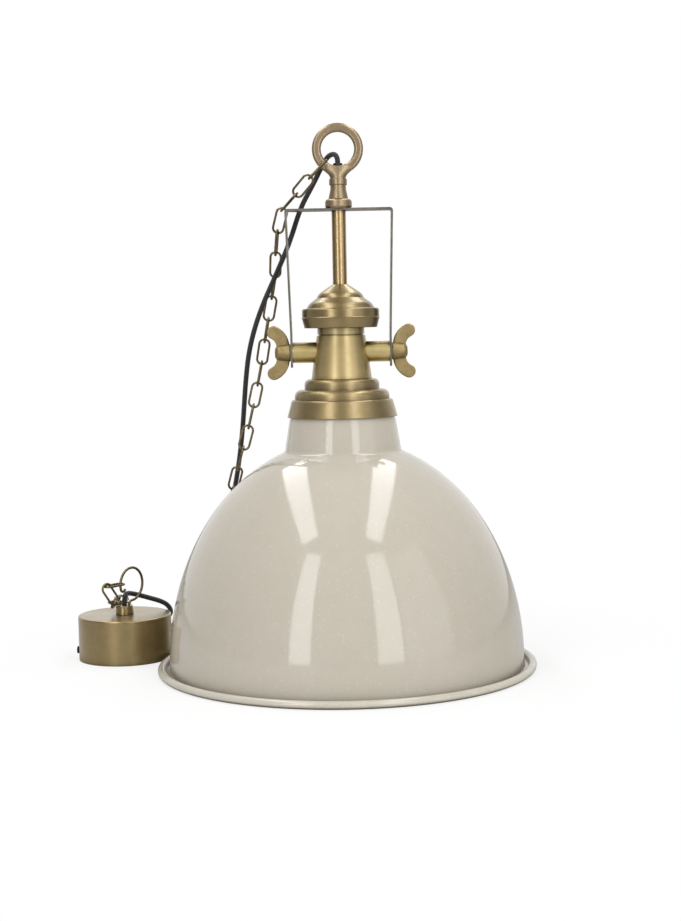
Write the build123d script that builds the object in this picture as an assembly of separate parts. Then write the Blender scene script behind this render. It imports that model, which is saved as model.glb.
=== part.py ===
from build123d import *
import math
import os

os.makedirs("parts", exist_ok=True)

# Driving dimensions in millimetres. The lamp stands on its rim, on the axis X = Y = 0, and
# Z = 0 is the surface below it. The ceiling rose lies behind it on the left, open side down.

# Shade: pressed steel dome, a half ellipse of revolution with a neck and a rolled rim
bead_radius = 4.2
shade_wall = 1.5
rim_flange_lift = 1.2
dome_radius = 187.0
rim_overhang = 13.0
dome_height = 233.0
dome_spring = 10.0
dome_arcs = 6
dome_arc_end = 78.0
neck_rise = 40.6
neck_foot_radius = 62.2
neck_foot_drop = 62.0
neck_waist_radius = 56.0
neck_waist_drop = 21.6
neck_crown_radius = 50.2
neck_crown_round = 2.5
shoulder_round = 6.0

# Gallery: turned brass cover that the shade's neck is pulled up into
gallery_wall = 1.2
gallery_skirt_radius = 57.8
gallery_skirt_drop = 17.2
gallery_shoulder_radius = 52.8
gallery_shoulder_round = 3.2
gallery_step_radius = 49.6
gallery_step_height = 10.2
gallery_step_round = 7.0
gallery_seat_radius = 44.0
gallery_crown_radius = 39.2
gallery_crown_height = 11.0
gallery_crown_round = 5.6
gallery_plate = 2.0
gallery_inner_round = 1.5

# Socket housing: tapered barrel on a threaded skirt, with a collar at its top
skirt_radius = 28.0
skirt_bore = 26.0
skirt_length = 42.0
barrel_foot_radius = 31.7
barrel_top_radius = 25.4
barrel_height = 45.2
barrel_wall = 2.4
collar_radius = 24.6
collar_height = 8.0
collar_groove = 1.4
collar_groove_depth = 1.0
housing_top_plate = 5.0

# Clamp ring below the shade's crown
clamp_ring_radius = 37.0
clamp_ring_height = 6.0

# Tie tube: one threaded tube through housing, cap, stem and strap, up into the finial
tie_radius = 5.0
tie_bore = 3.2
tie_tail = 15.0
tie_reach = 9.5
lock_nut_flats = 14.0
lock_nut_height = 4.0

# Top cap
cap_wall = 2.0
cap_lip_radius = 37.9
cap_lip_height = 10.4
cap_band_radius = 40.4
cap_ridge = 0.7
cap_ridge_round = 0.3
cap_band_height = 9.8
cap_band_round = 2.5
cap_dome_radius = 35.8
cap_dome_shoulder = (32.4, 5.2)
cap_dome_height = 10.8
cap_dome_round = 10.0
cap_crown_radius = 24.8
cap_crown_shoulder = (22.6, 4.4)
cap_crown_slope = (14.6, 9.8)
cap_crown_height = 13.8
cap_crown_round = 12.0
cap_tip_radius = 8.5
cap_hub_radius = 8.5

# Stem sleeve
stem_radius = 7.5
stem_length = 76.5

# Arm bosses, studs and wing nuts: the axis runs along X through the barrel
boss_radius = 10.8
boss_rise = 28.0
boss_face = 50.8
stud_radius = 4.0
stud_inner_end = 17.0
stud_length = 49.5
stud_nut_flats = 13.0
stud_nut_height = 4.5
stud_nut_setback = 2.0
washer_radius = 8.8
washer_height = 1.0
hub_radius = 9.4
hub_tip_radius = 7.8
hub_length = 15.6
hub_round = 5.5
nut_bore_depth = 13.2
wing_start = (7.1, 5.5)
wing_middle = (9.2, 14.4)
wing_tip = (16.9, 21.4)
wing_half_width = 6.8
wing_thickness = 5.0
wing_edge_round = 1.4

# Stirrup strap
strap_thickness = 2.0
strap_width = 21.0
strap_tab_below = 15.8
strap_tab_above = 18.5
strap_shoulder_lean = 3.5
strap_bend = 3.5

# Eye finial
finial_foot_radius = 13.9
finial_foot_height = 9.0
finial_foot_bevel = 1.2
finial_foot_bevel_height = 2.0
finial_foot_round = 3.5
finial_flare_radius = 10.4
finial_flare_rise = 1.0
finial_waist_radius = 8.2
finial_waist_height = 19.5
finial_waist_round = 16.0
finial_bead_radius = 9.3
finial_bead_low = 24.0
finial_bead_high = 30.5
finial_bead_round = 1.0
finial_neck_radius = 8.4
eye_centre_height = 61.4
eye_mean_radius = 21.9
eye_radial_half = 4.7
eye_depth_half = 3.7
eye_round = 3.2
eye_root_half_depth = 7.0
eye_root_half_width = 14.5
eye_root_step = 0.6
eye_root_swell = 1.4
eye_root_taper = 1.0

# Grommet in the eye
grommet_radius = 4.0
grommet_flange_radius = 4.9
grommet_shank = 8.0
grommet_stand = 2.6
grommet_round = 1.0

# Lampholder
porcelain_radius = 25.6
porcelain_height = 54.0
porcelain_drop = 2.0
porcelain_round = 1.0
shell_bore_radius = 15.2
shell_bore_depth = 33.0
shell_radius = 14.9
shell_inner_radius = 13.3
shell_length = 27.0
shell_lip_gap = 2.0
contact_length = 16.0
contact_width = 7.0
contact_thickness = 1.5
contact_button_radius = 3.0
terminal_offset = 9.0
terminal_side = 7.0
terminal_height = 8.0
terminal_screw_radius = 1.5
terminal_screw_head = 2.6
terminal_screw_head_height = 1.8
bracket_strip = 12.0
bracket_gauge = 2.0
bracket_bend = 0.8
bracket_half_span = 14.0
bracket_foot_reach = 22.0
holder_screw_offset = 18.6
holder_screw_radius = 1.75
holder_screw_head = 3.2
holder_screw_head_height = 2.5
earth_screw_rise = 13.0
earth_screw_length = 4.0

# Cable, its cores and the chain
cable_diameter = 5.4
core_radius = 0.95
core_lay = 1.4
core_bend = 2.1
core_swing = 3.5
wire_socket = 4.0
cord_bend_share = 0.45
chain_wire = 2.4
chain_link_length = 29.35
chain_link_width = 13.5
chain_slack = 0.5
chain_catch_gap = 0.5
chain_hang_angle = 225.0
hook_link_rise = 2.3
hook_link_lean = 35.0
hook_link_turn = -11.0
third_link_shift = (1.95, -2.2, 1.75)
third_link_roll = -16.0
fourth_link_roll = 67.0

# Ceiling rose, lying behind the lamp on the left
rose_y = 75.0
rose_to_rim = 5.2
rose_radius = 51.0
rose_height = 48.6
rose_wall = 1.2
rose_edge_round = 1.6
rose_screw_height = 9.5
rose_screw_radius = 2.0
rose_screw_head_radius = 4.0
rose_screw_head_height = 2.6
rose_screw_length = 9.0
rose_bracket_width = 20.0
rose_bracket_gauge = 2.0
rose_bracket_lug = 16.0
rose_fixing_spacing = 60.0
rose_fixing_radius = 2.5
rose_collar_foot_radius = 10.0
rose_collar_top_radius = 9.0
rose_collar_height = 9.6
rose_shank_radius = 5.0
rose_shank_length = 8.0
rose_nut_flats = 14.0
rose_nut_height = 4.0
rose_block_size = (30.0, 16.0, 12.0)
rose_terminal_pitch = 9.0
rose_tail_drop = 12.0

# Wire hook on the rose collar, in a plane turned about the vertical
hook_wire = 2.8
hook_radius = 18.1
hook_turn = 56.0
hook_foot_x = 5.5
hook_foot_y = -3.7
hook_foot_depth = 6.0
hook_bend = 5.0
hook_stand = 0.5
hook_end_angle = 192.0
hook_curl_radius = 3.6
hook_curl_angle = 150.0

# Rounds and screw heads that several pieces share
edge_break = 0.4
round_share = 0.98
screw_head_round = 0.3
screw_slot_width = 0.6
screw_slot_depth = 0.4

# Clearances
slip = 0.3
thread_fit = 0.1
running_fit = 0.05
cord_fit = 0.1
stud_hole_fit = 0.3

# Places and heights that follow from the sizes above
rim_radius = dome_radius + rim_overhang
rose_x = -math.sqrt((rim_radius + rose_to_rim + rose_radius) ** 2 - rose_y ** 2)
shade_top = dome_spring + dome_height + neck_rise
gallery_ledge = shade_top + gallery_wall
gallery_step_top = gallery_ledge + gallery_step_height
gallery_top = gallery_step_top + gallery_crown_height
barrel_top = gallery_top + barrel_height
housing_top = barrel_top + collar_height
cap_top = housing_top + cap_lip_height + cap_band_height + cap_dome_height + cap_crown_height
strap_under = cap_top + stem_length
strap_top = strap_under + strap_thickness
boss_axis = gallery_top + boss_rise
eye_centre = strap_top + eye_centre_height
eye_floor = eye_centre - eye_mean_radius + eye_radial_half
bracket_top = housing_top - housing_top_plate
tie_low = housing_top - tie_tail
tie_high = strap_top + tie_reach
porcelain_low = gallery_top - skirt_length + porcelain_drop
porcelain_top = porcelain_low + porcelain_height
collar_top = rose_height + rose_collar_height
hook_centre_height = collar_top + hook_stand + hook_bend + hook_radius
rose_tail_low = rose_height - rose_wall - rose_tail_drop
cable_radius = cable_diameter / 2

pieces = {}


def rounding_limit(corners, index):
    # a round may use an edge up to its end, or up to the middle where its neighbour has a round too
    here = Vector(corners[index][:2])
    limit = math.inf
    for neighbour in (index - 1, (index + 1) % len(corners)):
        share = round_share / 2 if corners[neighbour][2] else round_share
        limit = min(limit, share * (Vector(corners[neighbour][:2]) - here).length)
    run_in = here - Vector(corners[index - 1][:2])
    run_out = Vector(corners[(index + 1) % len(corners)][:2]) - here
    return limit / math.tan(math.radians(run_in.get_angle(run_out)) / 2)


def outline(*corners):
    points = [(across, up) for across, up, rounding in corners]
    rounds = [
        min(rounding, rounding_limit(corners, index)) if rounding else 0
        for index, (across, up, rounding) in enumerate(corners)
    ]
    return make_face(FilletPolyline(*points, radius=rounds, close=True))


def turned(*corners):
    return revolve(Plane.XZ * outline(*corners), Axis.Z)


def rod_z(radius, low, high, x=0.0, y=0.0):
    return Pos(x, y, (low + high) / 2) * Cylinder(radius, high - low)


def rod_x(radius, start, end, height, y=0.0):
    return Pos((start + end) / 2, y, height) * Rot(0, 90, 0) * Cylinder(radius, abs(end - start))


def rod_y(radius, start, end, x, height):
    return Pos(x, (start + end) / 2, height) * Rot(90, 0, 0) * Cylinder(radius, abs(end - start))


def block(low, high):
    size = [top - bottom for bottom, top in zip(low, high)]
    middle = [(top + bottom) / 2 for bottom, top in zip(low, high)]
    return Pos(*middle) * Box(*size)


def hex_nut(flats, bore, low, high):
    prism = extrude(RegularPolygon(flats / 2, 6, major_radius=False), high - low)
    return Pos(0, 0, low) * prism - rod_z(bore, low, high)


def corner_radii(points):
    radii = []
    for before, corner, after in zip(points, points[1:], points[2:]):
        run_in = Vector(corner) - Vector(before)
        run_out = Vector(after) - Vector(corner)
        turn = math.radians(run_in.get_angle(run_out))
        radii.append(cord_bend_share * min(run_in.length, run_out.length) / math.tan(turn / 2))
    return radii


def cord_tube(points, diameter, label):
    radii = corner_radii(points)
    path = FilletPolyline(*points, radius=radii)
    section = Plane(origin=path @ 0, z_dir=path % 0) * Circle(diameter / 2)
    tube = sweep(section, path)
    share = tube.volume / (math.pi * diameter**2 / 4 * path.length)
    print(f"{label}: length {path.length:.1f}, volume share {share:.4f}, least radius {min(radii):.1f}")
    return tube, radii


# Shade
def dome_section(inset):
    # the ellipse is drawn as arcs through its own points, up to where the neck hides it
    def at(angle):
        across = (dome_radius - inset) * math.cos(math.radians(angle))
        return across, dome_spring + (dome_height - inset) * math.sin(math.radians(angle))

    step = dome_arc_end / dome_arcs
    arcs = [
        ThreePointArc(at(index * step), at((index + 0.5) * step), at((index + 1) * step))
        for index in range(dome_arcs)
    ]
    across, top = at(dome_arc_end)
    closing = Polyline((across, top), (0, top), (0, dome_spring), at(0))
    return make_face([*arcs, closing])


def bell_section(inset):
    foot = shade_top - neck_foot_drop
    waist = shade_top - neck_waist_drop
    crown = shade_top - inset
    neck = outline(
        (0, foot, 0),
        (neck_foot_radius - inset, foot, 0),
        (neck_waist_radius - inset, waist, 0),
        (neck_crown_radius - inset, crown, neck_crown_round),
        (0, crown, 0),
    )
    bell = dome_section(inset) + neck
    corner = bell.vertices().sort_by_distance((neck_foot_radius, foot, 0))[0]
    return fillet(corner, shoulder_round)


def make_shade():
    wall_radius = dome_radius - shade_wall
    flange_top = rim_flange_lift + shade_wall
    bead_centre = rim_radius - bead_radius
    skin = revolve(Plane.XZ * (bell_section(0) - bell_section(shade_wall)), Axis.Z)
    foot = turned(
        (wall_radius, dome_spring, 0),
        (dome_radius, dome_spring, 0),
        (dome_radius, flange_top, shade_wall),
        (bead_centre, flange_top, 0),
        (bead_centre, rim_flange_lift, 0),
        (wall_radius, rim_flange_lift, shade_wall),
    )
    bead = Pos(0, 0, bead_radius) * Torus(bead_centre, bead_radius)
    hole = rod_z(skirt_radius + slip, shade_top - shade_wall, shade_top)
    return skin + (foot + bead) - hole


pieces["shade"] = make_shade()


# Gallery
def make_gallery():
    skirt_foot = gallery_ledge - gallery_skirt_drop - gallery_wall
    hole = skirt_radius + slip
    step_inner = gallery_crown_radius - gallery_plate
    return turned(
        (hole, gallery_top, 0),
        (gallery_crown_radius, gallery_top, gallery_crown_round),
        (gallery_crown_radius, gallery_step_top, 0),
        (gallery_step_radius, gallery_step_top, gallery_step_round),
        (gallery_step_radius, gallery_ledge, 0),
        (gallery_shoulder_radius, gallery_ledge, gallery_shoulder_round),
        (gallery_skirt_radius, skirt_foot, edge_break),
        (gallery_skirt_radius - gallery_wall, skirt_foot, edge_break),
        (gallery_shoulder_radius - gallery_wall, shade_top, gallery_inner_round),
        (gallery_seat_radius, shade_top, 0),
        (gallery_seat_radius, gallery_step_top - gallery_plate, 0),
        (step_inner, gallery_step_top - gallery_plate, 0),
        (step_inner, gallery_top - gallery_plate, 0),
        (hole, gallery_top - gallery_plate, 0),
    )


pieces["gallery"] = make_gallery()


# Socket housing
def barrel_radius_at(height):
    share = (height - gallery_top) / barrel_height
    return barrel_foot_radius + share * (barrel_top_radius - barrel_foot_radius)


def barrel_cone():
    return turned(
        (0, gallery_top, 0),
        (barrel_foot_radius, gallery_top, edge_break),
        (barrel_top_radius, barrel_top, edge_break),
        (0, barrel_top, 0),
    )


def make_housing():
    skirt_foot = gallery_top - skirt_length
    groove_radius = collar_radius - collar_groove_depth
    taper = (barrel_foot_radius - barrel_top_radius) / barrel_height
    bore_top = gallery_top + (barrel_foot_radius - barrel_wall - skirt_bore) / taper
    ceiling_bore = barrel_radius_at(bracket_top) - barrel_wall
    body = turned(
        (tie_radius + thread_fit, housing_top, 0),
        (collar_radius, housing_top, edge_break),
        (collar_radius, barrel_top + collar_groove, 0),
        (groove_radius, barrel_top + collar_groove, 0),
        (groove_radius, barrel_top, 0),
        (barrel_top_radius, barrel_top, edge_break),
        (barrel_foot_radius, gallery_top, edge_break),
        (skirt_radius, gallery_top, 0),
        (skirt_radius, skirt_foot, 0),
        (skirt_bore, skirt_foot, 0),
        (skirt_bore, bore_top, 0),
        (ceiling_bore, bracket_top, 0),
        (tie_radius + thread_fit, bracket_top, 0),
    )
    stud_hole = stud_radius + stud_hole_fit
    return body - rod_x(stud_hole, -barrel_foot_radius, barrel_foot_radius, boss_axis)


pieces["socket_housing"] = make_housing()
pieces["clamp_ring"] = turned(
    (skirt_radius + thread_fit, shade_top - shade_wall, 0),
    (clamp_ring_radius, shade_top - shade_wall, edge_break),
    (clamp_ring_radius, shade_top - shade_wall - clamp_ring_height, edge_break),
    (skirt_radius + thread_fit, shade_top - shade_wall - clamp_ring_height, 0),
)


# Arm bosses, studs, washers and wing nuts, made on the right and turned half round for the left
def make_boss():
    hole = stud_radius + stud_hole_fit
    blank = rod_x(boss_radius, 0, boss_face, boss_axis) - rod_x(hole, 0, boss_face, boss_axis)
    return (blank - barrel_cone()).solids().sort_by(Axis.X)[-1]


def make_stud_nut():
    hub = hex_nut(stud_nut_flats, stud_radius + thread_fit, -stud_nut_height, 0)
    seat = barrel_radius_at(boss_axis) - barrel_wall - stud_nut_setback
    return Pos(seat, 0, boss_axis) * Rot(0, 90, 0) * hub


def make_washer(seat):
    blank = rod_x(washer_radius, seat, seat + washer_height, boss_axis)
    return blank - rod_x(stud_radius + stud_hole_fit, seat, seat + washer_height, boss_axis)


def make_wing_nut(seat):
    hub = revolve(
        outline(
            (0, 0, 0),
            (hub_length, 0, 0),
            (hub_length, hub_tip_radius, hub_round),
            (0, hub_radius, edge_break),
        ),
        Axis.X,
    )
    spine = ThreePointArc(wing_start, wing_middle, wing_tip)
    blade = make_face(offset(spine, wing_half_width, side=Side.BOTH))
    wing = extrude(Plane.XZ * blade, wing_thickness / 2, both=True)
    wing = fillet(wing.faces().sort_by(Axis.Y)[0].edges(), wing_edge_round)
    wing = fillet(wing.faces().sort_by(Axis.Y)[-1].edges(), wing_edge_round)
    nut = hub + wing + mirror(wing, Plane.XY)
    bore = rod_x(stud_radius + running_fit, 0, nut_bore_depth, 0)
    return Pos(seat, 0, boss_axis) * (nut - bore)


washer_seat = boss_face + strap_thickness
nut_seat = washer_seat + washer_height
stud_nuts = []
for side, half_turn in (("right", 0), ("left", 180)):
    turn = Rot(0, 0, half_turn)
    pieces[f"{side}_arm_boss"] = turn * make_boss()
    stud = rod_x(stud_radius, stud_inner_end, stud_inner_end + stud_length, boss_axis)
    pieces[f"{side}_stud"] = turn * stud
    pieces[f"{side}_washer"] = turn * make_washer(washer_seat)
    pieces[f"{side}_wing_nut"] = turn * make_wing_nut(nut_seat)
    stud_nuts.append(turn * make_stud_nut())
pieces["stud_nuts"] = Part() + stud_nuts


# Stirrup strap
def make_strap():
    tab_low = boss_axis - strap_tab_below
    tab_high = boss_axis + strap_tab_above
    inner = boss_face
    outer = boss_face + strap_thickness
    inner_top = inner + strap_shoulder_lean
    outer_top = outer + strap_shoulder_lean
    half = outline(
        (0, strap_under, 0),
        (inner_top, strap_under, strap_bend - strap_thickness),
        (inner, tab_high, 0),
        (inner, tab_low, 0),
        (outer, tab_low, 0),
        (outer, tab_high, 0),
        (outer_top, strap_top, strap_bend),
        (0, strap_top, 0),
    )
    strip = extrude(Plane.XZ * half, strap_width / 2, both=True)
    strap = strip + mirror(strip, Plane.YZ)
    end_centre = tab_low + strap_width / 2
    end_box = block((-outer_top, -strap_width, tab_low - strap_width), (outer_top, strap_width, end_centre))
    strap = strap - (end_box - rod_x(strap_width / 2, -outer_top, outer_top, end_centre))
    strap = strap - rod_x(stud_radius + stud_hole_fit, -outer_top, outer_top, boss_axis)
    return strap - rod_z(tie_radius + slip, strap_under, strap_top)


pieces["stirrup_strap"] = make_strap()


# Top cap
def make_cap():
    band_low = housing_top + cap_lip_height
    band_high = band_low + cap_band_height
    dome_high = band_high + cap_dome_height
    dome_shoulder_radius = cap_dome_shoulder[0]
    dome_shoulder_high = band_high + cap_dome_shoulder[1]
    crown_shoulder_radius = cap_crown_shoulder[0]
    crown_shoulder_high = dome_high + cap_crown_shoulder[1]
    slope_radius = cap_crown_slope[0]
    slope_high = dome_high + cap_crown_slope[1]
    hole = tie_radius + slip
    return turned(
        (hole, housing_top, 0),
        (cap_hub_radius, housing_top, 0),
        (cap_hub_radius, cap_top - 2 * cap_wall, 0),
        (slope_radius - cap_wall, slope_high - cap_wall, 0),
        (crown_shoulder_radius - cap_wall, crown_shoulder_high - cap_wall, 0),
        (cap_crown_radius - cap_wall, dome_high - cap_wall, 0),
        (dome_shoulder_radius - cap_wall, dome_shoulder_high - cap_wall, 0),
        (cap_dome_radius - cap_wall, band_high - cap_wall, 0),
        (cap_band_radius - cap_wall, band_high - cap_wall, cap_band_round - cap_wall),
        (cap_band_radius - cap_wall, band_low, 0),
        (cap_lip_radius - cap_wall, housing_top, 0),
        (cap_lip_radius, housing_top, edge_break),
        (cap_band_radius, band_low - cap_ridge, 0),
        (cap_band_radius + cap_ridge, band_low, cap_ridge_round),
        (cap_band_radius, band_low + cap_ridge, 0),
        (cap_band_radius, band_high, cap_band_round),
        (cap_dome_radius, band_high, 0),
        (dome_shoulder_radius, dome_shoulder_high, cap_dome_round),
        (cap_crown_radius, dome_high, 0),
        (crown_shoulder_radius, crown_shoulder_high, cap_crown_round),
        (slope_radius, slope_high, cap_crown_round),
        (cap_tip_radius, cap_top, 0),
        (hole, cap_top, 0),
    )


pieces["top_cap"] = make_cap()
stem_bore = rod_z(tie_radius + slip, cap_top, strap_under)
pieces["stem_tube"] = rod_z(stem_radius, cap_top, strap_under) - stem_bore
pieces["tie_tube"] = rod_z(tie_radius, tie_low, tie_high) - rod_z(tie_bore, tie_low, tie_high)
lock_nut_top = bracket_top - bracket_gauge
pieces["lock_nut"] = hex_nut(
    lock_nut_flats, tie_radius + thread_fit, lock_nut_top - lock_nut_height, lock_nut_top
)


# Eye finial
def make_finial():
    neck_low = strap_top + finial_bead_high
    neck_high = eye_floor - eye_radial_half
    foot_high = strap_top + finial_foot_height
    turned_foot = turned(
        (0, strap_top, 0),
        (finial_foot_radius - finial_foot_bevel, strap_top, edge_break),
        (finial_foot_radius, strap_top + finial_foot_bevel_height, edge_break),
        (finial_foot_radius, foot_high, finial_foot_round),
        (finial_flare_radius, foot_high + finial_flare_rise, 0),
        (finial_waist_radius, strap_top + finial_waist_height, finial_waist_round),
        (finial_waist_radius, strap_top + finial_bead_low, 0),
        (finial_bead_radius, strap_top + finial_bead_low, finial_bead_round),
        (finial_bead_radius, neck_low, finial_bead_round),
        (finial_neck_radius, neck_low, 0),
        (0, neck_low, 0),
    )
    neck_mid = (neck_low + neck_high) / 2
    mid_depth = (finial_neck_radius + eye_root_half_depth) / 2
    top_depth = eye_root_half_depth - eye_root_taper
    neck = loft(
        [
            Pos(0, 0, neck_low) * Circle(finial_neck_radius),
            Pos(0, 0, neck_mid) * Ellipse(finial_neck_radius + eye_root_swell, mid_depth),
            Pos(0, 0, neck_high) * Ellipse(eye_root_half_width, eye_root_half_depth),
            Pos(0, 0, eye_floor) * Ellipse(eye_root_half_width + eye_root_taper, top_depth),
        ]
    )
    section = Pos(eye_mean_radius, 0) * RectangleRounded(2 * eye_radial_half, 2 * eye_depth_half, eye_round)
    ring = Pos(0, 0, eye_centre) * Rot(90, 0, 0) * revolve(Plane.XZ * section, Axis.Z)
    hollow_radius = eye_mean_radius - eye_radial_half + eye_root_step
    hollow = rod_y(hollow_radius, -finial_foot_radius, finial_foot_radius, 0, eye_centre)
    finial = turned_foot + (neck - hollow) + ring
    thread = rod_z(tie_radius + thread_fit, strap_top, tie_high)
    passage = rod_z(cable_radius + slip, tie_high, eye_floor)
    seat = rod_z(grommet_radius + running_fit, eye_floor - grommet_shank, eye_floor + eye_radial_half)
    flange_seat = rod_z(grommet_flange_radius + slip, eye_floor + slip, eye_floor + eye_radial_half)
    return finial - thread - passage - seat - flange_seat


pieces["eye_finial"] = make_finial()
cable_exit = eye_floor + grommet_stand
grommet_bore = rod_z(cable_radius + cord_fit, eye_floor - grommet_shank, cable_exit)
grommet_shank_rod = rod_z(grommet_radius, eye_floor - grommet_shank, eye_floor + slip)
grommet_flange = rod_z(grommet_flange_radius, eye_floor + slip, cable_exit)
grommet_flange = fillet(grommet_flange.edges().sort_by(Axis.Z)[-1], grommet_round)
pieces["eye_grommet"] = grommet_shank_rod + grommet_flange - grommet_bore


# Lampholder, its bracket and the wires to it
def make_porcelain():
    bore_top = porcelain_low + shell_bore_depth
    body = turned(
        (shell_bore_radius, porcelain_low, 0),
        (porcelain_radius, porcelain_low, porcelain_round),
        (porcelain_radius, porcelain_top, porcelain_round),
        (0, porcelain_top, 0),
        (0, bore_top, 0),
        (shell_bore_radius, bore_top, 0),
    )
    for way in (-1, 1):
        y = way * holder_screw_offset
        body -= rod_z(holder_screw_radius + slip, porcelain_low, porcelain_top, 0, y)
        body -= rod_z(holder_screw_head + slip, porcelain_low, porcelain_low + holder_screw_head_height, 0, y)
    return body


def make_holder_bracket():
    foot_top = porcelain_top + bracket_gauge
    half_strip = bracket_strip / 2
    hat = outline(
        (0, bracket_top - bracket_gauge, 0),
        (bracket_half_span - bracket_gauge, bracket_top - bracket_gauge, bracket_bend),
        (bracket_half_span - bracket_gauge, porcelain_top, bracket_bend + bracket_gauge),
        (bracket_foot_reach, porcelain_top, 0),
        (bracket_foot_reach, foot_top, 0),
        (bracket_half_span, foot_top, bracket_bend),
        (bracket_half_span, bracket_top, bracket_bend + bracket_gauge),
        (0, bracket_top, 0),
    )
    half = extrude(Plane.YZ * hat, half_strip, both=True)
    strap = half + mirror(half, Plane.XZ)
    strap -= rod_z(tie_radius + slip, bracket_top - bracket_gauge, bracket_top)
    screw_height = porcelain_top + earth_screw_rise
    strap -= rod_y(terminal_screw_radius + thread_fit, 0, bracket_half_span, 0, screw_height)
    for way in (-1, 1):
        y = way * holder_screw_offset
        strap -= rod_z(holder_screw_radius + thread_fit, porcelain_top, foot_top, 0, y)
    return strap


def make_screw(radius, head_radius, head_height, length):
    shank = rod_z(radius, 0, length)
    head = rod_z(head_radius, -head_height, 0)
    head = fillet(head.edges().sort_by(Axis.Z)[0], head_height * screw_head_round)
    slot_half = radius * screw_slot_width / 2
    slot_floor = head_height * (screw_slot_depth - 1)
    slot = block((-head_radius, -slot_half, -head_height), (head_radius, slot_half, slot_floor))
    return shank + head - slot


def core_place(angle):
    # the three cores lie on a circle in the cable
    return core_lay * math.cos(math.radians(angle)), core_lay * math.sin(math.radians(angle))


def core_wire(start, end, bend_height):
    # a core leaves the cable straight down, swings out and drops into its terminal
    path = FilletPolyline(
        start,
        (start[0], start[1], (start[2] + bend_height) / 2),
        (end[0], end[1], bend_height),
        end,
        radius=core_bend,
    )
    section = Plane(origin=path @ 0, z_dir=path % 0) * Circle(core_radius)
    return sweep(section, path)


pieces["lampholder_body"] = make_porcelain()
shell_low = porcelain_low + shell_lip_gap
shell_high = shell_low + shell_length
shell_hollow = rod_z(shell_inner_radius, shell_low, shell_high)
pieces["screw_shell"] = rod_z(shell_radius, shell_low, shell_high) - shell_hollow
contact_high = porcelain_low + shell_bore_depth
contact_low = contact_high - contact_thickness
contact_strip = block(
    (-contact_length / 2, -contact_width / 2, contact_low),
    (contact_length / 2, contact_width / 2, contact_high),
)
contact_button = rod_z(contact_button_radius, contact_low - contact_thickness, contact_low)
pieces["centre_contact"] = contact_strip + contact_button
pieces["holder_bracket"] = make_holder_bracket()
holder_screw = make_screw(
    holder_screw_radius,
    holder_screw_head,
    holder_screw_head_height,
    porcelain_height - holder_screw_head_height + bracket_gauge,
)
pieces["holder_screws"] = Part() + [
    Pos(0, way * holder_screw_offset, porcelain_low + holder_screw_head_height) * holder_screw
    for way in (-1, 1)
]

terminal_top = porcelain_top + terminal_height
terminals = []
terminal_screws = []
for way in (-1, 1):
    x = way * terminal_offset
    post = block(
        (x - terminal_side / 2, -terminal_side / 2, porcelain_top),
        (x + terminal_side / 2, terminal_side / 2, terminal_top),
    )
    post -= rod_z(core_radius + cord_fit, terminal_top - wire_socket, terminal_top, x)
    screw_height = terminal_top - wire_socket / 2
    screw_hole = terminal_screw_radius + thread_fit
    post -= rod_y(screw_hole, -terminal_side / 2, -core_radius - cord_fit, x, screw_height)
    terminals.append(post)
    screw = make_screw(
        terminal_screw_radius,
        terminal_screw_head,
        terminal_screw_head_height,
        terminal_side / 2 - core_radius - cord_fit - slip,
    )
    terminal_screws.append(Pos(x, -terminal_side / 2, screw_height) * Rot(-90, 0, 0) * screw)
pieces["holder_terminals"] = Part() + terminals
pieces["holder_terminal_screws"] = Part() + terminal_screws

earth_height = porcelain_top + earth_screw_rise
earth_leg = bracket_half_span - bracket_gauge
earth_screw = make_screw(
    terminal_screw_radius, terminal_screw_head, terminal_screw_head_height, earth_screw_length
)
pieces["earth_screw"] = Pos(0, earth_leg, earth_height) * Rot(-90, 0, 0) * earth_screw

wire_tip = terminal_top - wire_socket
earth_tip_y = earth_leg - terminal_screw_head_height - core_radius - cord_fit
cores = {
    "live_wire": (210, (-terminal_offset, 0.0, wire_tip)),
    "neutral_wire": (330, (terminal_offset, 0.0, wire_tip)),
    "earth_wire": (90, (0.0, earth_tip_y, earth_height - terminal_screw_head)),
}
for name, (angle, end) in cores.items():
    pieces[name] = core_wire((*core_place(angle), tie_low), end, end[2] + wire_socket + core_swing)
pieces["inner_cable"] = rod_z(cable_radius, tie_low, cable_exit)


# Ceiling rose
def at_rose(shape):
    return Pos(rose_x, rose_y, 0) * shape


def make_rose_cover():
    cup = turned(
        (0, rose_height, 0),
        (rose_radius, rose_height, rose_edge_round),
        (rose_radius, 0, 0),
        (rose_radius - rose_wall, 0, 0),
        (rose_radius - rose_wall, rose_height - rose_wall, edge_break),
        (0, rose_height - rose_wall, 0),
    )
    cup -= rod_z(rose_shank_radius + slip, rose_height - rose_wall, rose_height)
    return cup - rod_x(rose_screw_radius + slip, -rose_radius, rose_radius, rose_screw_height)


def make_rose_bracket():
    half_width = rose_bracket_width / 2
    lug_face = math.sqrt((rose_radius - rose_wall) ** 2 - half_width**2) - slip
    strip = outline(
        (0, 0, 0),
        (lug_face, 0, rose_bracket_gauge + bracket_bend),
        (lug_face, rose_bracket_lug, bracket_bend),
        (lug_face - rose_bracket_gauge, rose_bracket_lug, bracket_bend),
        (lug_face - rose_bracket_gauge, rose_bracket_gauge, bracket_bend),
        (0, rose_bracket_gauge, 0),
    )
    half = extrude(Plane.XZ * strip, half_width, both=True)
    bracket = half + mirror(half, Plane.YZ)
    for way in (-1, 1):
        bracket -= rod_z(rose_fixing_radius, 0, rose_bracket_gauge, way * rose_fixing_spacing / 2)
    return bracket - rod_x(rose_screw_radius + thread_fit, -rose_radius, rose_radius, rose_screw_height)


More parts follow.
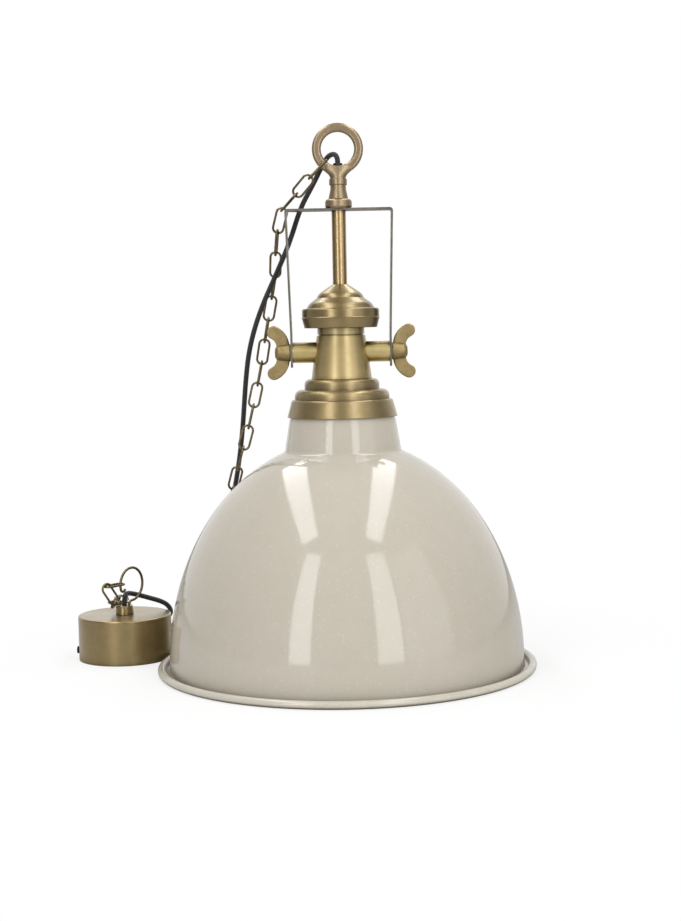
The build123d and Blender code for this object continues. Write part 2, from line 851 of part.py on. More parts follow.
def make_rose_collar():
    shank_low = rose_height - rose_shank_length
    bore = cable_radius + cord_fit
    collar = turned(
        (bore, collar_top, 0),
        (rose_collar_top_radius, collar_top, edge_break),
        (rose_collar_foot_radius, rose_height, edge_break),
        (rose_shank_radius, rose_height, 0),
        (rose_shank_radius, shank_low, 0),
        (bore, shank_low, 0),
    )
    foot_radius = hook_wire / 2 + running_fit
    return collar - rod_z(foot_radius, collar_top - hook_foot_depth, collar_top, hook_foot_x, hook_foot_y)


def make_hook():
    # drawn in its own upright plane, with the foot at the left of the circle's lowest point
    foot_low = collar_top - hook_foot_depth
    bend_low = collar_top + hook_stand
    foot = Line((-hook_bend, foot_low), (-hook_bend, bend_low))
    bend = CenterArc((0, bend_low), hook_bend, 180, -90)
    circle = CenterArc((0, hook_centre_height), hook_radius, -90, 90 + hook_end_angle)
    end_angle = math.radians(hook_end_angle)
    reach = hook_radius - hook_curl_radius
    curl_centre = (reach * math.cos(end_angle), hook_centre_height + reach * math.sin(end_angle))
    curl = CenterArc(curl_centre, hook_curl_radius, hook_end_angle, hook_curl_angle)
    path = Wire([foot.edge(), bend.edge(), circle.edge(), curl.edge()])
    section = Plane(origin=path @ 0, z_dir=path % 0) * Circle(hook_wire / 2)
    upright = Plane.XZ * sweep(section, path)
    return Pos(hook_foot_x, hook_foot_y, 0) * Rot(0, 0, hook_turn) * Pos(hook_bend, 0, 0) * upright


pieces["rose_cover"] = at_rose(make_rose_cover())
pieces["rose_bracket"] = at_rose(make_rose_bracket())
rose_screw = make_screw(
    rose_screw_radius, rose_screw_head_radius, rose_screw_head_height, rose_screw_length
)
rose_screw_right = Pos(rose_radius, 0, rose_screw_height) * Rot(0, -90, 0) * rose_screw
pieces["rose_screws"] = at_rose(Part() + [rose_screw_right, Rot(0, 0, 180) * rose_screw_right])
pieces["rose_collar"] = at_rose(make_rose_collar())
rose_nut_top = rose_height - rose_wall
pieces["rose_collar_nut"] = at_rose(
    hex_nut(rose_nut_flats, rose_shank_radius + thread_fit, rose_nut_top - rose_nut_height, rose_nut_top)
)
pieces["rose_hook"] = at_rose(make_hook())

block_x, block_y, block_z = rose_block_size
block_top = rose_bracket_gauge + block_z
rose_block = block(
    (-block_x / 2, -block_y / 2, rose_bracket_gauge),
    (block_x / 2, block_y / 2, block_top),
)
rose_terminal_screw = make_screw(
    terminal_screw_radius, terminal_screw_head, terminal_screw_head_height, wire_socket - slip
)
rose_terminal_screws = []
rose_cores = {"rose_live_wire": (210, -1), "rose_neutral_wire": (90, 0), "rose_earth_wire": (330, 1)}
for name, (angle, place) in rose_cores.items():
    x = place * rose_terminal_pitch
    floor = block_top - wire_socket
    rose_block -= rod_z(core_radius + cord_fit, floor, block_top, x, -block_y / 4)
    rose_block -= rod_z(terminal_screw_radius + thread_fit, floor, block_top, x, block_y / 4)
    rose_terminal_screws.append(Pos(x, block_y / 4, block_top) * Rot(180, 0, 0) * rose_terminal_screw)
    start = (*core_place(angle), rose_tail_low)
    pieces[name] = at_rose(core_wire(start, (x, -block_y / 4, floor), block_top + core_swing))
pieces["rose_terminal_block"] = at_rose(rose_block)
pieces["rose_terminal_screws"] = at_rose(Part() + rose_terminal_screws)
pieces["rose_cable_tail"] = at_rose(rod_z(cable_radius, rose_tail_low, collar_top))

# Cable: out of the eye, down behind the strap and the shade, along the surface and over the
# edge of the rose into its collar
cable_points = [
    (0, 0, cable_exit),
    (0, 0, cable_exit + 9),
    (-9, 8, cable_exit + 10),
    (-17, 15, cable_exit - 2),
    (-26, 19, 510),
    (-40, 20, 486),
    (-52, 22, 450),
    (-68, 23, 415),
    (-82, 26, 386),
    (-92, 31, 360),
    (-99, 37, 334),
    (-103, 45, 307),
    (-106, 55, 280),
    (-109, 66, 252),
    (-113, 74, 224),
    (-118, 81, 196),
    (-124, 92, 170),
    (-128, 111, 142),
    (-136, 151, 78),
    (-141, 169, 46),
    (-149, 183, 20),
    (-161, 192, 6),
    (-176, 196.5, 3),
    (-192, 196, 6),
    (-204, 191.5, 12),
    (-211.5, 182.5, 19),
    (-213.5, 170.5, 24),
    (-211.5, 158, 27.5),
    (-207.5, 145.5, 31),
    (-203, 133, 35),
    (-199, 121, 40.5),
    (-198, 110, 47.5),
    (-201.5, 102, 54.5),
    (-209, 98, 59),
    (-218.5, 95.5, 62.3),
    (-228.5, 93, 65.8),
    (-237.5, 88.5, 69),
    (-243.5, 81.5, 70.8),
    (rose_x, rose_y, collar_top + 9),
    (rose_x, rose_y, collar_top),
]
pieces["cable"], cable_bends = cord_tube(cable_points, cable_diameter, "cable")
print("cable radii", [round(radius) for radius in cable_bends])

# Chain: interlocked links from the eye to the wire hook on the rose. The last three links fold up to
# the hook and are placed from it
hang_angle = math.radians(chain_hang_angle)
hang_radius = eye_mean_radius - eye_radial_half
chain_route = [
    (hang_radius * math.cos(hang_angle), 0, eye_centre + hang_radius * math.sin(hang_angle)),
    (-29.5, 0.3, 514.6),
    (-45, 9, 498),
    (-59, 20, 484),
    (-65, 25, 462),
    (-67.5, 31, 438),
    (-69, 36, 413),
    (-74, 41, 388),
    (-79, 45, 362),
    (-83.5, 48, 337),
    (-88, 49, 312),
    (-94, 50, 286),
    (-100, 50, 260),
    (-107, 51, 235),
    (-115, 55, 208),
    (-124, 66, 178),
    (-140, 91, 140),
    (-152, 107, 100),
    (-160, 122, 62),
    (-168, 136.5, 35),
    (-177.5, 151, 17),
    (-189.5, 164.3, 8),
    (-203.5, 174.2, 6.4),
    (-218, 181, 9.2),
    (-232, 181.6, 15.6),
    (-243.6, 175.2, 23.6),
    (-250.2, 164.2, 32.2),
    (-252.5, 150.7, 43),
    (-252, 136.1, 53.1),
    (-250.8, 120.6, 59.9),
    (-251.4, 106, 61.1),
    (-254.1, 94.4, 60.8),
    (-257.1, 71.2, 61),
]


def chain_joints(route, nominal_pitch):
    # the joints lie one pitch apart along a smooth curve, and the pitch is eased until they end with it
    curve = Spline(*route)
    steps = 6000
    samples = [curve @ (step / steps) for step in range(steps + 1)]

    def walk(pitch):
        joints = [samples[0]]
        for sample in samples:
            if (sample - joints[-1]).length >= pitch:
                joints.append(sample)
        return joints

    count = len(walk(nominal_pitch))
    low = nominal_pitch * 0.9
    high = nominal_pitch
    while high - low > nominal_pitch / steps:
        middle = (low + high) / 2
        if len(walk(middle)) > count:
            low = middle
        else:
            high = middle
    return walk(low), low


def turn_about(vector, axis, degrees):
    angle = math.radians(degrees)
    return vector * math.cos(angle) + axis.cross(vector) * math.sin(angle)


def signed_angle(start, end, axis):
    return math.degrees(math.atan2(axis.dot(start.cross(end)), start.dot(end)))


def square_to(vector, axis):
    return (vector - axis * vector.dot(axis)).normalized()


def link_frames(joints):
    # each link is a quarter turn from the last. The chain twists a little from link to link, so that the
    # last one has its stated roll, and links that lie on a surface lean on it at 45 degrees
    alongs = [(end - start).normalized() for start, end in zip(joints, joints[1:])]
    normal = alongs[0].cross(Vector(0, 1, 0)).normalized()
    normals = []
    for index, along in enumerate(alongs):
        normal = square_to(normal, along)
        normals.append(turn_about(normal, along, 90 * index))
    last_normal = turn_about(square_to(up, alongs[-1]), alongs[-1], fourth_link_roll)
    mismatch = signed_angle(normals[-1], last_normal, alongs[-1])
    mismatch = (mismatch + 90) % 180 - 90
    frames = []
    last = len(alongs) - 1
    for index, (along, normal) in enumerate(zip(alongs, normals)):
        normal = turn_about(normal, along, mismatch * index / last)
        middle = (joints[index] + joints[index + 1]) / 2
        lying = min(max((2 * chain_link_width - middle.Z) / (1.5 * chain_link_width), 0), 1)
        lean = signed_angle(square_to(up, along), normal, along)
        normal = turn_about(normal, along, lying * ((90 - lean) % 90 - 45))
        frames.append(Plane(origin=middle, x_dir=along, z_dir=normal))
    return frames


def hook_frames(last_joint):
    # the first link from the hook lies level round its wire, the second hangs from it, and the third lies
    # through the second's lower end
    reach = (chain_link_length - chain_wire) / 2
    catch = chain_wire + chain_catch_gap
    level = Vector(math.cos(math.radians(hook_turn)), math.sin(math.radians(hook_turn)), 0)
    hook_centre = Vector(rose_x + hook_foot_x, rose_y + hook_foot_y, hook_centre_height) + level * hook_bend
    hook_side = hook_centre + up * hook_link_rise - level * hook_radius
    level_end = hook_side + level * (hook_wire / 2 + chain_wire / 2 + chain_catch_gap)
    swing = turn_about(level, up, hook_link_turn)
    hanging = turn_about(up, swing.cross(up), hook_link_lean)
    hanging_end = level_end - level * 2 * reach + hanging * catch
    third_end = hanging_end - hanging * 2 * reach + Vector(third_link_shift)
    third = (third_end - last_joint).normalized()
    third_normal = turn_about(square_to(up, third), third, third_link_roll)
    return [
        Plane(origin=third_end - third * reach, x_dir=third, z_dir=third_normal),
        Plane(origin=hanging_end - hanging * reach, x_dir=hanging, z_dir=swing.cross(up)),
        Plane(origin=level_end - level * reach, x_dir=level, z_dir=up),
    ]


def chain_link():
    path = SlotOverall(chain_link_length - chain_wire, chain_link_width - chain_wire).wire()
    section = Plane(origin=path @ 0, z_dir=path % 0) * Circle(chain_wire / 2)
    steps = 72
    centre_line = [path @ (step / steps) for step in range(steps)]
    return sweep(section, path), centre_line


up = Vector(0, 0, 1)
chain_pitch = chain_link_length - 2 * chain_wire - chain_slack
joints, true_pitch = chain_joints(chain_route, chain_pitch)
frames = link_frames(joints) + hook_frames(joints[-1])
link, link_line = chain_link()
pieces["chain"] = Compound(children=[frame.location * link for frame in frames])
lines = [[frame.from_local_coords(point) for point in link_line] for frame in frames]
gaps = [
    min((one - other).length for one in first for other in second) - chain_wire
    for first, second in zip(lines, lines[1:])
]
print(f"chain: {len(frames)} links, pitch {true_pitch:.2f}, length {len(frames) * true_pitch:.0f}")
print("chain gaps", [round(gap, 2) for gap in gaps])

for name, piece in pieces.items():
    export_step(piece, f"parts/{name}.step")
print(f"{len(pieces)} pieces written")
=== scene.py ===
import math

import bmesh
import bpy
from mathutils import Matrix, Vector


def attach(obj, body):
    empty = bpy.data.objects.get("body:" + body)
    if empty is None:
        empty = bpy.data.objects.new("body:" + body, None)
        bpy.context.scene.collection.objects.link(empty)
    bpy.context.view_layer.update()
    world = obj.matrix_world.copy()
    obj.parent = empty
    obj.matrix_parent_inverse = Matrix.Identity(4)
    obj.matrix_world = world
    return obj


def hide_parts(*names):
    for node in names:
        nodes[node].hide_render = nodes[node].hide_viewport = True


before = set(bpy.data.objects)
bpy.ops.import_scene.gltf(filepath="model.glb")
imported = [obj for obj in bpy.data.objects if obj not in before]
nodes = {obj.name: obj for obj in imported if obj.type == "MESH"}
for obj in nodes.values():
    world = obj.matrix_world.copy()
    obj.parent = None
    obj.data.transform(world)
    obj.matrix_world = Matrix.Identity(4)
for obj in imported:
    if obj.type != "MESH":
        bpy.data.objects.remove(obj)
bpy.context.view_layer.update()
mm = 0.001
print("frame loaded with", len(nodes), "nodes")


# a colour given in display levels, 0 to 255, turned into the linear one that a shader takes
def paint(red, green, blue):
    def linear(level):
        level = level / 255
        return level / 12.92 if level <= 0.04045 else ((level + 0.055) / 1.055) ** 2.4
    return (linear(red), linear(green), linear(blue), 1.0)


# small helpers for node trees
def feed(tree, socket, value):
    if isinstance(value, bpy.types.NodeSocket):
        tree.links.new(value, socket)
    else:
        socket.default_value = value


def put(tree, kind, inputs=None, **settings):
    node = tree.nodes.new("ShaderNode" + kind)
    for name, value in settings.items():
        setattr(node, name, value)
    for name, value in (inputs or {}).items():
        feed(tree, node.inputs[name], value)
    return node


def sums(tree, operation, first, second=0.0, clamp=False):
    node = put(tree, "Math", operation=operation, use_clamp=clamp)
    feed(tree, node.inputs[0], first)
    feed(tree, node.inputs[1], second)
    return node.outputs[0]


def spread(tree, value, fromLow, fromHigh, toLow=0.0, toHigh=1.0):
    ends = {"From Min": fromLow, "From Max": fromHigh, "To Min": toLow, "To Max": toHigh}
    return put(tree, "MapRange", {"Value": value, **ends}).outputs[0]


def blendColour(tree, factor, first, second, way="MIX"):
    # the sockets go by place, because the node repeats their names for each type of data
    node = put(tree, "Mix", data_type="RGBA", blend_type=way)
    for index, value in ((0, factor), (6, first), (7, second)):
        feed(tree, node.inputs[index], value)
    return node.outputs[2]


def noise(tree, vector, scale, detail=2.0, roughness=0.5):
    inputs = {"Vector": vector, "Scale": scale, "Detail": detail, "Roughness": roughness}
    return put(tree, "TexNoise", inputs).outputs["Fac"]


def grey(tree, level):
    return put(tree, "CombineColor", {"Red": level, "Green": level, "Blue": level}).outputs[0]


def openGroup(name, inputs, outputs):
    tree = bpy.data.node_groups.new(name, "ShaderNodeTree")
    kinds = {"vector": "NodeSocketVector", "value": "NodeSocketFloat", "colour": "NodeSocketColor"}
    for label, kind in inputs.items():
        tree.interface.new_socket(label, in_out="INPUT", socket_type=kinds[kind])
    for label, kind in outputs.items():
        tree.interface.new_socket(label, in_out="OUTPUT", socket_type=kinds[kind])
    entry = tree.nodes.new("NodeGroupInput").outputs
    exits = tree.nodes.new("NodeGroupOutput").inputs
    return tree, entry, exits


def use(tree, group, inputs):
    node = tree.nodes.new("ShaderNodeGroup")
    node.node_tree = group
    for name, value in inputs.items():
        feed(tree, node.inputs[name], value)
    return node.outputs


# fine rings that a lathe or a polishing wheel leaves round the Z axis of its vector
turnedMake = {"scale": 1.0, "detail": 3.0, "roughness": 0.65}


def buildTurnedLines():
    inputs = {"Vector": "vector", "Density": "value"}
    tree, entry, exits = openGroup("turnedLines", inputs, {"Lines": "value"})
    split = put(tree, "SeparateXYZ", {"Vector": entry["Vector"]}).outputs
    flat = put(tree, "CombineXYZ", {"X": split["X"], "Y": split["Y"]}).outputs[0]
    radius = put(tree, "VectorMath", {0: flat}, operation="LENGTH").outputs["Value"]
    angle = sums(tree, "ARCTAN2", split["Y"], split["X"])
    across = sums(tree, "MULTIPLY", radius, entry["Density"])
    up = sums(tree, "MULTIPLY", split["Z"], entry["Density"])
    ring = put(tree, "CombineXYZ", {"X": across, "Y": up, "Z": angle}).outputs[0]
    tree.links.new(noise(tree, ring, **turnedMake), exits["Lines"])
    return tree


# slow tone change with small flecks in it, between a bright and a dark colour
patinaMake = {
    "cloudDetail": 5.0, "cloudShare": 0.65, "fleckScale": 9.0, "fleckDetail": 3.0, "fleckShare": 0.35,
    "roughness": 0.6, "evenCover": 0.5, "edge": (0.36, 0.64),
}


def buildPatina():
    make = patinaMake
    inputs = {"Vector": "vector", "Size": "value", "Cover": "value", "Bright": "colour", "Dark": "colour"}
    tree, entry, exits = openGroup("patina", inputs, {"Colour": "colour"})
    clouds = noise(tree, entry["Vector"], entry["Size"], make["cloudDetail"], make["roughness"])
    fleckSize = sums(tree, "MULTIPLY", entry["Size"], make["fleckScale"])
    flecks = noise(tree, entry["Vector"], fleckSize, make["fleckDetail"], make["roughness"])
    both = sums(tree, "ADD", sums(tree, "MULTIPLY", clouds, make["cloudShare"]),
                sums(tree, "MULTIPLY", flecks, make["fleckShare"]))
    lifted = sums(tree, "ADD", both, sums(tree, "SUBTRACT", entry["Cover"], make["evenCover"]))
    mask = spread(tree, lifted, *make["edge"])
    tree.links.new(blendColour(tree, mask, entry["Bright"], entry["Dark"]), exits["Colour"])
    return tree


# painted shade: darkening in grooves and inner corners, from ambient occlusion
creaseMake = {"samples": 6, "openToShut": (0.85, 0.25)}


def buildCreaseShade():
    inputs = {"Reach": "value", "Strength": "value"}
    tree, entry, exits = openGroup("creaseShade", inputs, {"Mask": "value"})
    reach = {"Distance": entry["Reach"]}
    openness = put(tree, "AmbientOcclusion", reach, samples=creaseMake["samples"]).outputs["AO"]
    closed = spread(tree, openness, *creaseMake["openToShut"])
    tree.links.new(sums(tree, "MULTIPLY", closed, entry["Strength"], True), exits["Mask"])
    return tree


# bright rubbed edges, broken up by a small noise
rubMake = {
    "samples": 4, "flatToEdge": (0.995, 0.86), "breakScale": 420.0, "breakDetail": 3.0, "breakRoughness": 0.6,
    "breakEdge": (0.36, 0.58),
}


def buildEdgeRub():
    make = rubMake
    inputs = {"Vector": "vector", "Width": "value", "Strength": "value"}
    tree, entry, exits = openGroup("edgeRub", inputs, {"Mask": "value"})
    rounded = put(tree, "Bevel", {"Radius": entry["Width"]}, samples=make["samples"]).outputs[0]
    plain = put(tree, "NewGeometry").outputs["Normal"]
    match = put(tree, "VectorMath", {0: rounded, 1: plain}, operation="DOT_PRODUCT").outputs["Value"]
    edge = spread(tree, match, *make["flatToEdge"])
    grain = noise(tree, entry["Vector"], make["breakScale"], make["breakDetail"], make["breakRoughness"])
    worn = sums(tree, "MULTIPLY", edge, spread(tree, grain, *make["breakEdge"]))
    tree.links.new(sums(tree, "MULTIPLY", worn, entry["Strength"], True), exits["Mask"])
    return tree


# small scattered specks
speckMake = {"clearToFull": (0.34, 0.16)}


def buildSpecks():
    inputs = {"Vector": "vector", "Size": "value", "Cover": "value"}
    tree, entry, exits = openGroup("specks", inputs, {"Mask": "value"})
    cells = put(tree, "TexVoronoi", {"Vector": entry["Vector"], "Scale": entry["Size"]})
    near = spread(tree, cells.outputs["Distance"], *speckMake["clearToFull"])
    chance = put(tree, "SeparateColor", {"Color": cells.outputs["Color"]}).outputs[0]
    chosen = sums(tree, "LESS_THAN", chance, entry["Cover"])
    tree.links.new(sums(tree, "MULTIPLY", near, chosen), exits["Mask"])
    return tree


# the uneven skin of a cast or fired surface
skinMake = {"broadShare": 0.7, "fineScale": 5.0, "fineDetail": 3.0, "fineRoughness": 0.6, "fineShare": 0.3}


def buildSkin():
    make = skinMake
    tree, entry, exits = openGroup("skin", {"Vector": "vector", "Size": "value"}, {"Height": "value"})
    broad = noise(tree, entry["Vector"], entry["Size"])
    fineSize = sums(tree, "MULTIPLY", entry["Size"], make["fineScale"])
    fine = noise(tree, entry["Vector"], fineSize, make["fineDetail"], make["fineRoughness"])
    height = sums(tree, "ADD", sums(tree, "MULTIPLY", broad, make["broadShare"]),
                  sums(tree, "MULTIPLY", fine, make["fineShare"]))
    tree.links.new(height, exits["Height"])
    return tree


turnedLines = buildTurnedLines()
patina = buildPatina()
creaseShade = buildCreaseShade()
edgeRub = buildEdgeRub()
specks = buildSpecks()
skin = buildSkin()


def startMaterial(name, **constants):
    material = bpy.data.materials.new(name)
    material.use_nodes = True
    tree = material.node_tree
    shader = tree.nodes["Principled BSDF"]
    for label, value in constants.items():
        shader.inputs[label].default_value = value
    place = put(tree, "TexCoord").outputs["Object"]
    return material, tree, shader, place


# slow smears in a polish, between two values
smearMake = {"detail": 3.0, "roughness": 0.6, "edge": (0.3, 0.7)}


def smears(tree, place, size, low, high):
    marks = noise(tree, place, size, smearMake["detail"], smearMake["roughness"])
    return spread(tree, marks, *smearMake["edge"], low, high)


def bumpInto(tree, shader, height, strength, distance):
    inputs = {"Height": height, "Strength": strength, "Distance": distance}
    tree.links.new(put(tree, "Bump", inputs).outputs[0], shader.inputs["Normal"])


# enamel, fired on: a clear tone with faint clouds, two sorts of specks, painted shade in its creases and a
# slow orange peel
def makeEnamel(name, look):
    material, tree, shader, place = startMaterial(name, IOR=look["ior"])
    tone = use(tree, patina, {"Vector": place, "Size": look["cloudSize"], "Cover": look["cloudCover"],
                              "Bright": look["tone"], "Dark": look["cloud"]})["Colour"]
    darkSpeck = use(tree, specks, {"Vector": place, "Size": look["speckSize"],
                                   "Cover": look["speckCover"]})["Mask"]
    paleSpeck = use(tree, specks, {"Vector": place, "Size": look["speckSize"] * look["paleSize"],
                                   "Cover": look["speckCover"] * look["paleCover"]})["Mask"]
    tone = blendColour(tree, sums(tree, "MULTIPLY", darkSpeck, look["speckDepth"]), tone, look["speck"])
    tone = blendColour(tree, sums(tree, "MULTIPLY", paleSpeck, look["speckDepth"]), tone, look["paleSpeck"])
    # painted shade: the enamel is darkened where the surface is shut in, in the groove above the bead and in
    # inner corners
    paintedShade = use(tree, creaseShade, {"Reach": look["paintedShadeReach"], "Strength": look["paintedShade"]})["Mask"]
    tone = blendColour(tree, paintedShade, tone, look["paintedShadeTone"])
    rub = use(tree, edgeRub, {"Vector": place, "Width": look["rubWidth"], "Strength": look["rub"]})["Mask"]
    tree.links.new(blendColour(tree, rub, tone, look["rubTone"]), shader.inputs["Base Color"])
    smear = smears(tree, place, look["smearSize"], look["gloss"], look["gloss"] + look["smearDepth"])
    tree.links.new(smear, shader.inputs["Roughness"])
    peel = use(tree, skin, {"Vector": place, "Size": look["peelSize"]})["Height"]
    bumpInto(tree, shader, peel, look["peel"], look["peelHeight"])
    return material


enamelOutside = {
    "ior": 1.5, "tone": paint(187, 180, 167), "cloud": paint(183, 176, 162),
    "cloudSize": 9.0, "cloudCover": 0.5,
    "speck": paint(168, 158, 140), "paleSpeck": paint(220, 215, 204), "speckDepth": 0.18,
    "speckSize": 330.0, "speckCover": 0.3, "paleSize": 0.71, "paleCover": 0.8,
    # painted shade in the creases: its strength, its reach and its dark tone
    "paintedShade": 0.55, "paintedShadeReach": 0.006, "paintedShadeTone": paint(120, 112, 96),
    "rub": 0.4, "rubWidth": 0.0012, "rubTone": paint(214, 209, 199),
    "gloss": 0.055, "smearSize": 22.0, "smearDepth": 0.05,
    "peelSize": 110.0, "peel": 0.035, "peelHeight": 0.001,
}
# the rim's copy of the same enamel: a paler tone as painted light on the bead, and painted shade at full
# strength in the groove above it
litRimEnamel = dict(enamelOutside, tone=paint(199, 194, 180), cloud=paint(190, 184, 169), cloudSize=30.0,
                 paintedShade=1.0, paintedShadeTone=paint(80, 70, 52), gloss=0.16, rub=0.5, peel=0.08)
enamelInside = dict(enamelOutside, tone=paint(226, 223, 214), cloud=paint(220, 216, 206),
                    speck=paint(196, 190, 178), paleSpeck=paint(236, 233, 226), gloss=0.2)


# metal that was turned, drawn or cast: patina, painted shade in its creases, rubbed edges and its own tool
# marks
def makeMetal(name, look):
    constants = {"Metallic": 1.0, "Anisotropic": look["anisotropy"], "Coat Weight": look["lacquer"],
                 "Coat Roughness": look["lacquerRoughness"]}
    if look["anisotropy"]:
        constants["Anisotropic Rotation"] = look["grainTurn"]
    material, tree, shader, place = startMaterial(name, **constants)
    turn = {"Vector": place, "Location": look["centre"], "Rotation": look["axisTurn"]}
    local = put(tree, "Mapping", turn, vector_type="TEXTURE").outputs[0]
    tone = use(tree, patina, {"Vector": place, "Size": look["patchSize"], "Cover": look["patchCover"],
                              "Bright": look["bright"], "Dark": look["dark"]})["Colour"]
    # painted shade darkens the creases and inner corners
    paintedShade = use(tree, creaseShade, {"Reach": look["creaseReach"], "Strength": look["crease"]})["Mask"]
    tone = blendColour(tree, paintedShade, tone, look["creaseTone"])
    rub = use(tree, edgeRub, {"Vector": place, "Width": look["rubWidth"], "Strength": look["rub"]})["Mask"]
    tone = blendColour(tree, rub, tone, look["rubTone"])
    lines = use(tree, turnedLines, {"Vector": local, "Density": look["lineDensity"]})["Lines"]
    lineShade = spread(tree, lines, *look["lineEdge"], 1.0 - look["lineTone"], 1.0 + look["lineTone"])
    tone = blendColour(tree, 1.0, tone, grey(tree, lineShade), "MULTIPLY")
    tree.links.new(tone, shader.inputs["Base Color"])
    drift = look["roughDrift"]
    smear = smears(tree, place, look["patchSize"] * look["smearScale"], -drift, drift)
    polish = spread(tree, lines, *look["lineEdge"], look["roughness"] - drift, look["roughness"] + drift)
    tree.links.new(sums(tree, "ADD", polish, smear, True), shader.inputs["Roughness"])
    if look["anisotropy"]:
        grain = put(tree, "Tangent", direction_type="RADIAL", axis=look["grainAxis"]).outputs[0]
        tree.links.new(grain, shader.inputs["Tangent"])
    cast = use(tree, skin, {"Vector": place, "Size": look["skinSize"]})["Height"]
    height = sums(tree, "ADD", sums(tree, "MULTIPLY", lines, look["lineDepth"]),
                  sums(tree, "MULTIPLY", cast, look["skinDepth"]))
    bumpInto(tree, shader, height, look["relief"], look["reliefHeight"])
    return material


turnedBrass = {
    "bright": paint(157, 139, 99), "dark": paint(140, 121, 82), "patchSize": 14.0, "patchCover": 0.46,
    # painted shade in the creases: its strength, its reach and its dark tone
    "crease": 0.9, "creaseReach": 0.006, "creaseTone": paint(62, 49, 27),
    "rub": 0.4, "rubWidth": 0.0008, "rubTone": paint(206, 188, 142),
    "lineDensity": 2600.0, "lineTone": 0.1, "lineDepth": 0.25, "lineEdge": (0.25, 0.75),
    "roughness": 0.4, "roughDrift": 0.05, "smearScale": 2.3, "lacquer": 0.5, "lacquerRoughness": 0.18,
    "anisotropy": 0.4, "grainTurn": 0.25, "grainAxis": "Z", "centre": (0, 0, 0), "axisTurn": (0, 0, 0),
    "skinSize": 300.0, "skinDepth": 0.02, "relief": 0.5, "reliefHeight": 0.0004,
}
# painted light: the housing takes a brighter copy of the same turned brass, standing in for the light on its
# front
litHousingBrass = dict(turnedBrass, bright=paint(194, 174, 126), dark=paint(180, 159, 110), roughness=0.48)
stemBrass = dict(turnedBrass, bright=paint(178, 154, 113), dark=paint(166, 141, 100), roughness=0.32,
                 lineTone=0.04, lineDepth=0.05, skinDepth=0.0, anisotropy=0.0, lacquer=0.3, rub=0.0)
bossBrass = dict(turnedBrass, bright=paint(208, 189, 132), dark=paint(194, 174, 116), roughness=0.33,
                 axisTurn=(0, math.radians(90), 0), grainAxis="X")
castBrass = dict(turnedBrass, bright=paint(170, 150, 106), dark=paint(138, 120, 84), patchSize=60.0,
                 lineTone=0.0, lineDepth=0.0, skinSize=380.0, skinDepth=0.2, roughness=0.46,
                 anisotropy=0.0, crease=0.6, lacquer=0.0)
finialBrass = dict(castBrass, bright=paint(160, 142, 115), dark=paint(148, 129, 103), patchSize=11.0,
                   skinDepth=0.02, skinSize=220.0, roughness=0.4, crease=0.9, creaseTone=paint(66, 54, 38),
                   rub=0.0)
roseBrass = dict(turnedBrass, bright=paint(160, 141, 99), dark=paint(146, 126, 85), roughness=0.35,
                 anisotropy=0.3, lineTone=0.05, centre=(-0.245, 0.075, 0.0))
hookBronze = dict(castBrass, bright=paint(124, 112, 86), dark=paint(88, 78, 58), roughness=0.32,
                  skinDepth=0.03, rubWidth=0.0002)
chainBronze = dict(castBrass, bright=paint(142, 128, 98), dark=paint(92, 81, 60), patchCover=0.5,
                   roughness=0.3, skinDepth=0.03, rub=0.8, rubTone=paint(178, 162, 122), rubWidth=0.0002,
                   crease=0.9, creaseTone=paint(30, 24, 16))
strapSteel = dict(castBrass, bright=paint(146, 139, 130), dark=paint(112, 105, 97), patchSize=30.0,
                  roughness=0.34, skinDepth=0.05, rub=0.2, rubTone=paint(170, 164, 156),
                  creaseTone=paint(44, 40, 36))
zincSteel = dict(castBrass, bright=paint(176, 178, 180), dark=paint(140, 142, 146), patchSize=120.0,
                 roughness=0.34, skinDepth=0.25, rubTone=paint(214, 214, 214), creaseTone=paint(70, 70, 72))
blackSteel = dict(castBrass, bright=paint(40, 40, 42), dark=paint(22, 22, 24), roughness=0.42,
                  skinDepth=0.3, rubTone=paint(110, 110, 112), creaseTone=paint(10, 10, 10))
contactBrass = dict(castBrass, bright=paint(206, 176, 104), dark=paint(176, 146, 80), roughness=0.28,
                    skinDepth=0.15)


# plain non-metals: porcelain, terminal plastic, rubber and core insulation
def makePlain(name, look):
    material, tree, shader, place = startMaterial(name, IOR=look["ior"])
    tone = use(tree, patina, {"Vector": place, "Size": look["patchSize"], "Cover": look["patchCover"],
                              "Bright": look["bright"], "Dark": look["dark"]})["Colour"]
    # painted shade darkens the creases and inner corners
    paintedShade = use(tree, creaseShade, {"Reach": look["creaseReach"], "Strength": look["crease"]})["Mask"]
    tone = blendColour(tree, paintedShade, tone, look["creaseTone"])
    rub = use(tree, edgeRub, {"Vector": place, "Width": look["rubWidth"], "Strength": look["rub"]})["Mask"]
    tree.links.new(blendColour(tree, rub, tone, look["rubTone"]), shader.inputs["Base Color"])
    smear = smears(tree, place, look["patchSize"] * look["smearScale"],
                   look["roughness"] - look["roughDrift"], look["roughness"] + look["roughDrift"])
    tree.links.new(smear, shader.inputs["Roughness"])
    surface = use(tree, skin, {"Vector": place, "Size": look["skinSize"]})["Height"]
    bumpInto(tree, shader, surface, look["skinDepth"], look["skinHeight"])
    return material


